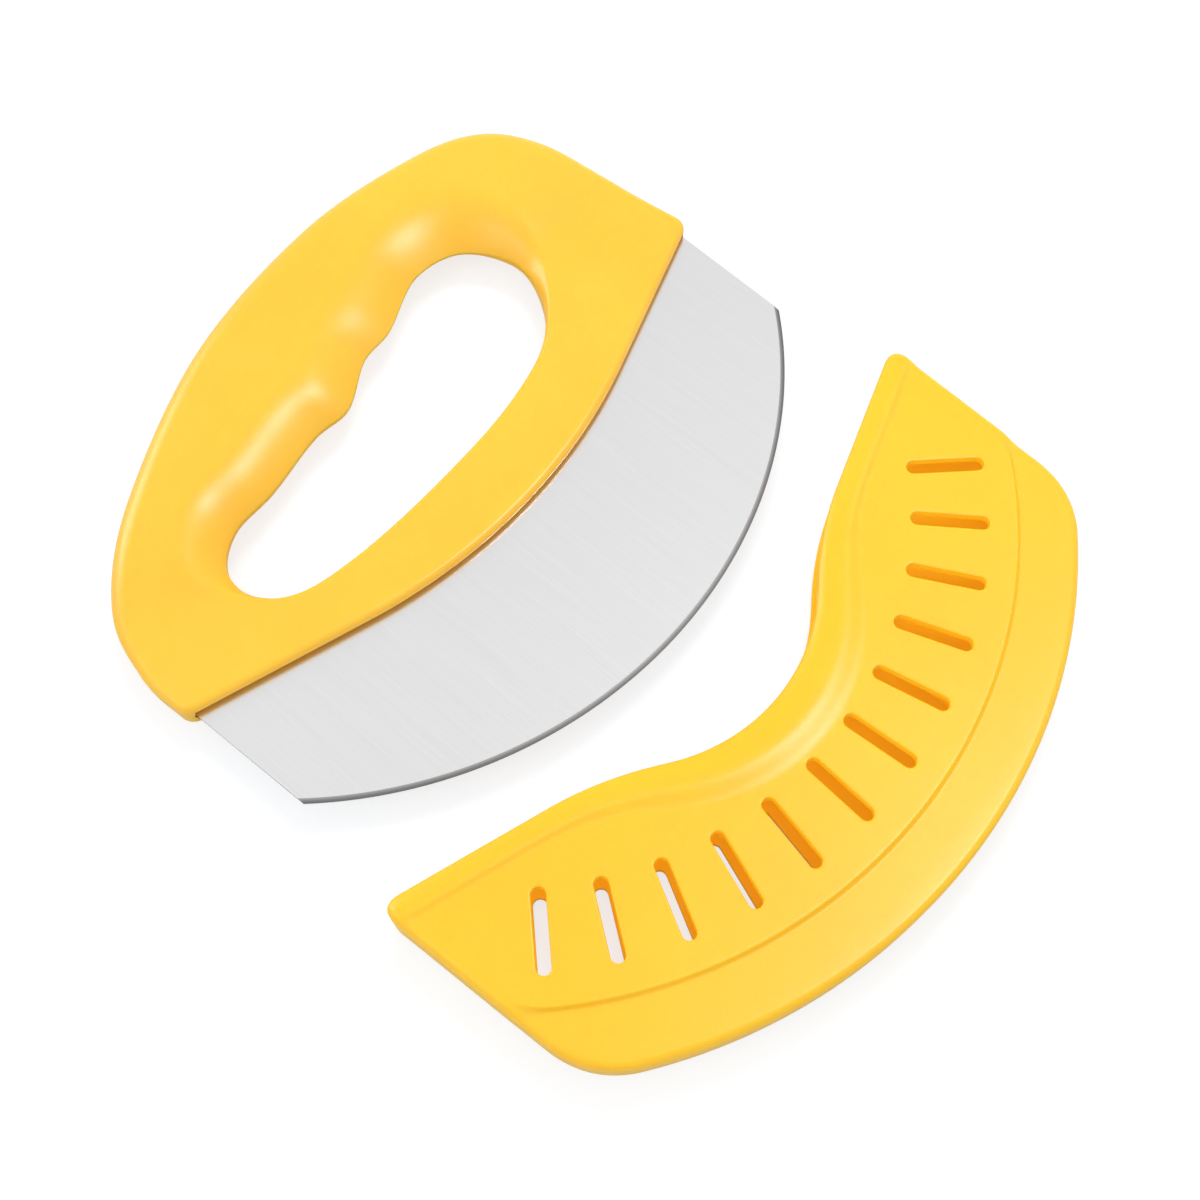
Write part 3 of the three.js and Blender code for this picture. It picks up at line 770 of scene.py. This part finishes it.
class CUTTER_OT_handle(bpy.types.Operator):
    """Makes the front and rear shells of the handle"""

    bl_idname = "cutter.handle"
    bl_label = "Handle shells"

    def execute(self, context):
        scene = context.scene
        handle, blade, finishes = scene.cutter_handle, scene.cutter_blade, scene.cutter_finishes
        origin = cutter_origin(context)
        sections = shell_sections(handle, PITCH)
        rooms = [
            slab(blade_plan(handle, blade, blade.fit), blade.thick / 2 + blade.fit),
            slab(relief_plan(handle, blade), blade.relief_half),
        ]
        faces = ring_faces(sections.shape[0], sections.shape[1], True)
        tones = finishes.handle_colour, finishes.handle_shade
        plastic = moulded_plastic("handle plastic", *tones, finishes.handle_gloss, finishes.handle_grain)
        for name, side in (("front", 1), ("rear", -1)):
            points = sections.reshape(-1, 3) * (1, 1, side) + origin
            shell = mesh_object(f"{name}_shell", points, faces, SHARP, plastic)
            cutters = []
            for room, sides in rooms:
                cutters.append(mesh_object("blade room", room + origin, sides, SHARP, plastic))
            cut(shell, cutters)
            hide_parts(f"handle_{name}_shell")
            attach(shell, "cutter")
        return {"FINISHED"}


# Blade


def cutter_origin(context):
    """Middle of the handle's blade-side edge in the row frame."""
    low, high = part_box("blade")
    return np.array((0, low.y + context.scene.cutter_blade.drop, (low.z + high.z) / 2))


def cutting_height(blade, x, radius):
    return blade.edge_radius - blade.drop - np.sqrt(radius**2 - np.asarray(x, float) ** 2)


def tang_outline(handle, blade, grow, points):
    """The blade's outline inside the handle, from its right end to its left, grown by a clearance."""
    side = blade_half(handle, blade) + grow
    tang = side - blade.tang_inset
    top = np.linspace(tang, -tang, points)
    return np.vstack([
        [(side, edge_height(handle, side) + blade.shoulder + grow)],
        [(tang, edge_height(handle, tang) + blade.shoulder + grow)],
        np.column_stack([top, edge_height(handle, top) + blade.tang + grow]),
        [(-tang, edge_height(handle, tang) + blade.shoulder + grow)],
        [(-side, edge_height(handle, side) + blade.shoulder + grow)],
    ])


def blade_plan(handle, blade, grow):
    """Outline of the blade and its tang, grown by a clearance on every side."""
    side = blade_half(handle, blade) + grow
    x = np.linspace(-side, side, ROOM_POINTS)
    edge = np.column_stack([x, cutting_height(blade, x, blade.edge_radius + grow)])
    return np.vstack([edge, tang_outline(handle, blade, grow, ROOM_POINTS)])


def relief_plan(handle, blade):
    """Outline of the undercut along the handle's blade-side edge."""
    side = blade_half(handle, blade)
    x = np.linspace(-side, side, ROOM_POINTS)
    edge = edge_height(handle, x)
    below = np.column_stack([x, edge - blade.relief])
    above = np.column_stack([x, edge + blade.relief])
    return np.vstack([below, above[::-1]])


class CUTTER_OT_blade(bpy.types.Operator):
    """Makes the blade with its ground edge and its tang"""

    bl_idname = "cutter.blade"
    bl_label = "Blade"

    def execute(self, context):
        scene = context.scene
        handle, blade, finishes = scene.cutter_handle, scene.cutter_blade, scene.cutter_finishes
        side = blade_half(handle, blade)
        x = np.linspace(blade.taper - side, side - blade.taper, EDGE_POINTS)
        edge = np.column_stack([x, cutting_height(blade, x, blade.edge_radius)])
        bevel = np.column_stack([x, cutting_height(blade, x, blade.edge_radius - blade.bevel)])
        face = np.vstack([bevel, tang_outline(handle, blade, 0, TANG_POINTS)])
        half, land = blade.thick / 2, blade.land / 2
        rings = [raised(face, half), raised(face, -half), raised(edge, land), raised(edge, -land)]
        rear = len(face)
        front_edge = 2 * len(face)
        rear_edge = front_edge + len(edge)
        last = len(edge) - 1
        faces = [range(rear), range(rear, front_edge)[::-1]]
        for i in range(last):
            faces.append((front_edge + i, front_edge + i + 1, i + 1, i))
            faces.append((rear_edge + i + 1, rear_edge + i, rear + i, rear + i + 1))
            faces.append((rear_edge + i, rear_edge + i + 1, front_edge + i + 1, front_edge + i))
        for i in range(last, rear - 1):
            faces.append((i, rear + i, rear + i + 1, i + 1))
        faces.append((rear - 1, front_edge - 1, rear, rear_edge, front_edge, 0))
        faces.append((last, front_edge + last, rear_edge + last, rear + last))
        origin = cutter_origin(context)
        centre = origin[1] + blade.edge_radius - blade.drop
        steels = brushed_steel(finishes), ground_steel_and_painted_shade(finishes, blade, centre)
        made = mesh_object("blade_sheet", np.vstack(rings) + origin, faces, BLADE_SHARP, *steels)
        low, high = BEVEL_FACING
        for polygon in made.data.polygons:
            polygon.material_index = int(low < abs(polygon.normal.z) < high)
        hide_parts("blade")
        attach(made, "cutter")
        return {"FINISHED"}


# Guard


class GuardForm:
    """Plan and heights of the guard, with y from the middle of its mouth."""

    def __init__(self, guard, handle, blade, pitch):
        self.guard = guard
        self.handle = handle
        self.pitch = pitch
        self.seat_half = handle.base_half + guard.fit
        self.panel_half = self.seat_half + guard.wall
        self.end_half = handle.half_width + guard.ear_fit + guard.rim
        self.depth = guard.lap + blade.drop + guard.edge_room + guard.rim
        self.centre_y = guard.edge_radius - self.depth
        self.step_radius = guard.edge_radius - guard.band_width
        lip, tip = self.mouth_half()
        self.mouth = joined(lip, tip)
        self.top = self.mouth[-1][1]
        run_out = lip[-1] + 2 * guard.ear_cut * unit(lip[-1:] - lip[-2:-1])[0]
        lip = np.vstack([lip, run_out])
        self.lip_run = np.vstack([lip[::-1] * (-1, 1), lip[1:]])

    def mouth_half(self):
        """Right half of the mouth: from its middle along the ear, then round the ear's tip."""
        guard, pitch = self.guard, self.pitch
        ramp, rake = guard.ramp_angle, self.handle.edge_rake
        dip, flare = guard.dip_radius, guard.flare_radius
        dip_x, dip_y = dip * math.sin(ramp), dip * (1 - math.cos(ramp))
        flare_x = dip_x + guard.ramp * math.cos(ramp) + flare * math.sin(ramp)
        flare_y = dip_y + guard.ramp * math.sin(ramp) - flare * math.cos(ramp)
        ear_x = flare_x - flare * math.sin(rake)
        ear_y = flare_y + flare * math.cos(rake)
        before = self.end_half - guard.ear_cut * math.cos(rake)
        tip = ear_y + (self.end_half - ear_x) * math.tan(rake)
        before_y = tip - guard.ear_cut * math.sin(rake)
        ramp_end = (dip_x + guard.ramp * math.cos(ramp), dip_y + guard.ramp * math.sin(ramp))
        lip = joined(
            arc((0, dip), dip, -QUARTER, -QUARTER + ramp, pitch),
            line((dip_x, dip_y), ramp_end, pitch),
            arc((flare_x, flare_y), flare, QUARTER + ramp, QUARTER + rake, pitch),
            line((ear_x, ear_y), (before, before_y), pitch),
        )
        below = (self.end_half, tip - guard.ear_cut)
        return lip, corner((before, before_y), (self.end_half, tip), below, pitch / 2)

    def side_half(self, top, inset, radius, cut_back):
        """Right side from a height down round the lower corner to the middle of the arc."""
        tilt = math.tan(self.guard.draft)

        def end_x(y):
            return self.end_half - inset - (self.top - y) * tilt

        def arc_y(x):
            return self.centre_y - math.sqrt(radius**2 - x**2)

        corner_y = arc_y(self.end_half - inset)
        for _ in range(CORNER_TRIES):
            corner_y = arc_y(end_x(corner_y))
        corner_x = end_x(corner_y)
        turn = math.asin(corner_x / radius) - cut_back / radius
        bend = (radius * math.sin(turn), self.centre_y - radius * math.cos(turn))
        above = (end_x(corner_y + cut_back), corner_y + cut_back)
        return joined(
            line((end_x(top), top), above, self.pitch),
            corner(above, (corner_x, corner_y), bend, self.pitch),
            arc((0, self.centre_y), radius, turn - QUARTER, -QUARTER, self.pitch),
        )

    def outline(self):
        side = self.side_half(self.top, 0, self.guard.edge_radius, self.guard.corner_cut)
        half = joined(self.mouth, side)
        return joined(half, half[::-1] * (-1, 1))[:-1][::-1]

    def lip(self, x):
        """Crest, width, rise and drop of the lip, which is plain on the ears and a bead in the middle."""
        guard = self.guard
        middle = smoothstep(1 - np.abs(x) / guard.bead_reach, 0, 1)
        sizes = (
            (guard.lip_crest, guard.bead_crest),
            (guard.lip_width, guard.bead_width),
            (guard.lip_rise, guard.bead_half - self.panel_half),
            (guard.lip_drop, guard.bead_drop),
        )
        return [mixed(ear, bead, middle) for ear, bead in sizes]

    def height(self, points):
        """Half thickness of the outer skin at points in the plan."""
        guard = self.guard
        away, place = nearest(points, self.lip_run)
        crest, width, rise, _ = self.lip(place[:, 0])
        fall = np.clip((away - crest) / (width - crest), 0, 1)
        panel = self.panel_half + rise * (1 - mixed(fall, smoothstep(fall, 0, 1), guard.lip_soft))
        return mixed(panel, guard.band_half, self.step(points))

    def step(self, points):
        """0 on the panel and 1 on the band; the step between them softens towards the two ends."""
        guard = self.guard
        end = self.end_half - (self.top - points[:, 1]) * math.tan(guard.draft)
        near = 1 - smoothstep(end - np.abs(points[:, 0]), guard.end_round, guard.step_fade)
        soft = mixed(1, guard.step_softer, near)
        out = np.hypot(points[:, 0], points[:, 1] - self.centre_y) - self.step_radius
        return smoothstep(out / soft, -guard.step_inside, guard.step_outside)

    def skin(self):
        """Vertices and faces of the outer skin, closed, with nothing cut out of it."""
        guard = self.guard
        outline = self.outline()
        inward = unit(evened(left_normals(outline), outline, EVEN_GUARD_NORMAL))
        away, place = nearest(outline, self.lip_run)
        crest, _, _, drop = self.lip(place[:, 0])
        on_lip = 1 - smoothstep(away, 0, guard.end_round)
        plain = mixed(guard.end_round, guard.edge_round, self.step(outline))
        round_in = evened(mixed(plain, crest, on_lip), outline, EVEN_GUARD_ROUND)
        round_down = evened(mixed(plain, drop, on_lip), outline, EVEN_GUARD_ROUND)
        shoulder = outline + inward * round_in[:, None]
        high = evened(self.height(shoulder), outline, EVEN_GUARD_HEIGHT)
        count = len(outline)
        rows = [raised(outline, 0)]
        for turn in np.linspace(0, QUARTER, ROUND_ROWS):
            into = round_in * (1 - math.cos(turn))
            height = high - round_down * (1 - math.sin(turn))
            rows.append(raised(outline + inward * into[:, None], height))
        faces = ring_faces(len(rows), count, False)
        vertices = np.vstack(rows)
        rim = (len(rows) - 1) * count
        spots = self.inner_spots(shoulder)
        points = [Vector(p) for p in np.vstack([shoulder, spots]) / MM]
        loop = [(i, (i + 1) % count) for i in range(count)]
        filled = delaunay_2d_cdt(points, loop, [], DELAUNAY_INSIDE, DELAUNAY_NEAR)
        plan, _, triangles, origins, _, _ = filled
        plan = np.array([tuple(p) for p in plan]) * MM
        top = raised(plan, self.height(plan))
        place = {}
        for index, sources in enumerate(origins):
            edge = [s for s in sources if s < count]
            place[index] = rim + edge[0] if edge else len(vertices) + index
        vertices = np.vstack([vertices, top])
        faces += [tuple(place[i] for i in triangle) for triangle in triangles]
        used = sorted({i for f in faces for i in f})
        renumber = {old: new for new, old in enumerate(used)}
        vertices = vertices[used]
        faces = [tuple(renumber[i] for i in f) for f in faces]
        below = vertices * (1, 1, -1)
        faces += [tuple(i + len(vertices) for i in f[::-1]) for f in faces]
        return np.vstack([vertices, below]), faces

    def inner_spots(self, shoulder):
        """Points inside the shoulder, in rows along the lip and along the step."""
        guard, pitch = self.guard, self.pitch
        run = self.lip_run
        along = np.gradient(run, axis=0)
        into = unit(np.column_stack([along[:, 1], -along[:, 0]]))
        crest, width, _, _ = self.lip(run[:, 0])
        parts = np.linspace(0, LIP_BEYOND, LIP_ROWS)
        spots = [run + into * mixed(crest, width, part)[:, None] for part in parts]
        low = self.step_radius - guard.step_softer * guard.step_inside
        high = self.step_radius + guard.step_softer * guard.step_outside
        start, end = -QUARTER - STEP_TURN, -QUARTER + STEP_TURN
        for radius in np.linspace(low, high, STEP_ROWS):
            spots.append(arc((0, self.centre_y), radius, start, end, pitch))
        grid = np.stack(np.meshgrid(GRID_X, GRID_Y), -1).reshape(-1, 2)
        gap, _ = nearest(grid, run)
        out = np.hypot(grid[:, 0], grid[:, 1] - self.centre_y)
        off_step = (out < low - GRID_CLEAR) | (out > high + GRID_CLEAR)
        flat = (gap > guard.bead_width + GRID_CLEAR) & off_step
        spots = np.vstack([*spots, grid[flat]])
        spots = spots[inside(spots, shoulder)]
        clear, _ = nearest(spots, np.vstack([shoulder, shoulder[:1]]))
        return spots[clear > RIM_CLEAR]

    def slot_outline(self, turn):
        guard = self.guard
        radius = guard.slot_width / 2
        outer = self.step_radius - guard.slot_to_step - radius
        inner = self.step_radius - guard.slot_to_step - guard.slot_length + radius
        ends = [((0, -outer), math.pi, 2 * math.pi), ((0, -inner), 0, math.pi)]
        loop = np.vstack([arc(c, radius, a, b, radius / 4) for c, a, b in ends])
        cos, sin = math.cos(turn), math.sin(turn)
        return loop @ np.array(((cos, sin), (-sin, cos))) + (0, self.centre_y)

    def slot_cutters(self):
        guard = self.guard
        edge = guard.slot_edge
        levels = [(self.panel_half + SLOT_BEYOND, edge)]
        for turn in np.linspace(0, QUARTER, SLOT_ROWS):
            depth = guard.slot_lip + edge * (1 - math.cos(turn))
            levels.append((self.panel_half - depth, edge * (1 - math.sin(turn))))
        levels = [(-z, out) for z, out in levels] + levels[::-1]
        turns = (np.arange(guard.slots) - (guard.slots - 1) / 2) * guard.slot_pitch
        return merged(prism(self.slot_outline(turn), levels) for turn in turns)

    def room(self, half, inset, radius, cut_back):
        """A room inside, as deep as half to each side and open past the mouth."""
        side = self.side_half(self.top + self.guard.ear_cut, inset, radius, cut_back)
        return slab(joined(side * (-1, 1), side[::-1]), half)

    def stop_blocks(self):
        """What is left standing in the rooms as stop ribs, above and below the blade."""
        guard = self.guard
        thick, slit, beyond = guard.stop_thick / 2, guard.stop_slit / 2, guard.bead_half
        blocks = []
        for rib in range(guard.stop_ribs):
            x = (rib - (guard.stop_ribs - 1) / 2) * guard.stop_pitch
            stop = float(edge_height(self.handle, x)) - guard.lap - guard.stop_fit
            foot = stop - self.depth
            plan = np.array([(x - thick, foot), (x + thick, foot), (x + thick, stop), (x - thick, stop)])
            for low, high in ((-beyond, -slit), (slit, beyond)):
                blocks.append(prism(plan, [(low, 0), (high, 0)]))
        return merged(blocks)


class CUTTER_OT_guard(bpy.types.Operator):
    """Makes the hollow blade guard with its slots"""

    bl_idname = "cutter.guard"
    bl_label = "Blade guard"

    def execute(self, context):
        scene = context.scene
        guard, finishes = scene.cutter_guard, scene.cutter_finishes
        form = GuardForm(guard, scene.cutter_handle, scene.cutter_blade, PITCH)
        low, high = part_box("blade_guard")
        origin = np.array((0, low.y + form.depth, (low.z + high.z) / 2))
        tones = finishes.guard_colour, finishes.guard_shade
        gloss, grain = finishes.guard_gloss, finishes.guard_grain
        plastic = moulded_plastic("guard plastic", *tones, gloss, grain)
        # The guard's inside walls and slot walls get a painted glow
        painted_glow_plastic = moulded_plastic("guard plastic inside", *tones, gloss, grain, finishes.guard_painted_glow)
        vertices, faces = form.skin()
        made = mesh_object("guard_sleeve", vertices + origin, faces, SHARP, plastic)
        cutters = []
        rim, apart = guard.rim, ROOMS_APART
        edge_half, slit_half = guard.band_half - rim, guard.stop_slit / 2
        edge, corner_cut = guard.edge_radius - rim, guard.corner_cut - rim
        rooms = [
            ("seat room", form.room(form.seat_half, rim, form.step_radius - rim, guard.panel_corner), True),
            ("edge room", form.room(edge_half, rim + apart, edge, corner_cut), True),
            ("blade room", form.room(slit_half, rim + 2 * apart, edge - apart, corner_cut), False),
        ]
        for name, (points, sides), ribbed in rooms:
            room = mesh_object(name, points + origin, sides, SHARP, painted_glow_plastic)
            if ribbed:
                points, sides = form.stop_blocks()
                cut(room, [mesh_object("stop blocks", points + origin, sides, SHARP, painted_glow_plastic)])
            cutters.append(room)
        points, sides = form.slot_cutters()
        slots = mesh_object("slots", points + origin, sides, SHARP, painted_glow_plastic, plastic)
        for polygon in slots.data.polygons:
            at_rim = abs(polygon.center.z - origin[2]) > form.panel_half - guard.slot_edge
            polygon.material_index = int(at_rim)
        cutters.append(slots)
        cut(made, cutters)
        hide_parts("blade_guard")
        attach(made, "guard")
        return {"FINISHED"}


# Stage


def soft_light(name, place, size, watts):
    """A round lamp that faces the origin."""
    lamp = bpy.data.lights.new(name, "AREA")
    lamp.shape = "DISK"
    lamp.size = size
    lamp.energy = watts
    made = bpy.data.objects.new(name, lamp)
    made.location = place
    made.rotation_euler = (-Vector(place)).to_track_quat("-Z", "Y").to_euler()
    bpy.context.scene.collection.objects.link(made)
    return made


def seen_directly(tree):
    """1 for rays from the camera, in reflections and through clear things."""
    kinds = [
        tree.node("ShaderNodeLightPath", output=name)
        for name in ("Is Camera Ray", "Is Glossy Ray", "Is Transmission Ray")
    ]
    return kinds[0].maths("MAXIMUM", kinds[0].maths("MAXIMUM", kinds[0], kinds[1]), kinds[2])


class CUTTER_OT_stage(bpy.types.Operator):
    """Makes the floor, the lights, the background and the camera"""

    bl_idname = "cutter.stage"
    bl_label = "Stage"

    def execute(self, context):
        stage = context.scene.cutter_stage
        self.floor(stage)
        self.world(context.scene, stage)
        for name, place, size, unseen in LAMPS:
            lamp = soft_light(f"{name} light", place, size, getattr(stage, name))
            lamp.visible_glossy = unseen != "glossy"
            lamp.visible_diffuse = unseen != "diffuse"
        self.camera(context.scene, stage)
        context.scene.view_settings.view_transform = "Standard"
        return {"FINISHED"}

    def floor(self, stage):
        half = FLOOR_HALF
        corners = [(-half, -half, 0), (half, -half, 0), (half, half, 0), (-half, half, 0)]
        mesh = bpy.data.meshes.new("floor")
        mesh.from_pydata(corners, [], [(0, 1, 2, 3)])
        floor = bpy.data.objects.new("floor", mesh)
        bpy.context.scene.collection.objects.link(floor)
        material = bpy.data.materials.new("pale floor")
        tree = Tree(material)
        matt = tree.node("ShaderNodeBsdfDiffuse", None, {"Color": (*stage.floor_colour, 1)})
        thin = tree.node("ShaderNodeBsdfDiffuse", None, {"Color": (*stage.floor_shade, 1)})
        white = {"Color": (1, 1, 1, 1), "Strength": stage.floor_white}
        glow = tree.node("ShaderNodeEmission", None, white)
        shown = tree.node("ShaderNodeAddShader", None, {0: thin, 1: glow})
        seen = tree.node("ShaderNodeLightPath", output="Is Camera Ray")
        mixed_shader = tree.node("ShaderNodeMixShader", None, {0: seen, 1: matt, 2: shown})
        tree.node("ShaderNodeOutputMaterial", None, {"Surface": mixed_shader})
        mesh.materials.append(material)

    def world(self, scene, stage):
        world = bpy.data.worlds.new("studio")
        scene.world = world
        tree = Tree(world)
        even = tree.node("ShaderNodeBackground", None, {"Color": (1, 1, 1, 1), "Strength": stage.ambient})
        white = tree.node("ShaderNodeBackground", None, {"Color": (1, 1, 1, 1), "Strength": 1.0})
        shader = tree.node("ShaderNodeMixShader", None, {0: seen_directly(tree), 1: even, 2: white})
        tree.node("ShaderNodeOutputWorld", None, {"Surface": shader})

    def camera(self, scene, stage):
        lens = bpy.data.cameras.new("camera")
        lens.sensor_fit = "HORIZONTAL"
        lens.angle = stage.field
        lens.clip_start = 0.01
        lens.clip_end = 20
        made = bpy.data.objects.new("camera", lens)
        flat = math.cos(stage.elevation)
        back = Vector((
            math.sin(stage.heading) * flat, -math.cos(stage.heading) * flat, math.sin(stage.elevation)
        ))
        made.location = Vector(stage.target) + back * stage.distance
        made.rotation_euler = (-back).to_track_quat("-Z", "Y").to_euler()
        scene.collection.objects.link(made)
        scene.camera = made


class CUTTER_PT_panel(bpy.types.Panel):
    """Lists the sizes, the finishes and the pieces"""

    bl_idname = "CUTTER_PT_panel"
    bl_label = "Pizza cutter"
    bl_space_type = "VIEW_3D"
    bl_region_type = "UI"
    bl_category = "Cutter"

    def draw(self, context):
        for name, maker in GROUPS.items():
            box = self.layout.box()
            group = getattr(context.scene, name)
            for prop in type(group).__annotations__:
                box.prop(group, prop)
            if maker:
                box.operator(maker)


GROUPS = {
    "cutter_finishes": "",
    "cutter_handle": "cutter.handle",
    "cutter_blade": "cutter.blade",
    "cutter_guard": "cutter.guard",
    "cutter_stage": "cutter.stage",
}
GROUP_TYPES = (Finishes, HandleSizes, BladeSizes, GuardSizes, StageSizes)
CLASSES = (
    *GROUP_TYPES,
    CUTTER_OT_handle,
    CUTTER_OT_blade,
    CUTTER_OT_guard,
    CUTTER_OT_stage,
    CUTTER_PT_panel,
)


def register():
    for kind in CLASSES:
        bpy.utils.register_class(kind)
    for name, kind in zip(GROUPS, GROUP_TYPES):
        setattr(bpy.types.Scene, name, PointerProperty(type=kind))


def unregister():
    for name in GROUPS:
        delattr(bpy.types.Scene, name)
    for kind in reversed(CLASSES):
        bpy.utils.unregister_class(kind)


def main():
    register()
    bpy.ops.cutter.handle()
    bpy.ops.cutter.blade()
    bpy.ops.cutter.guard()
    bpy.ops.cutter.stage()


if __name__ == "__main__":
    main()
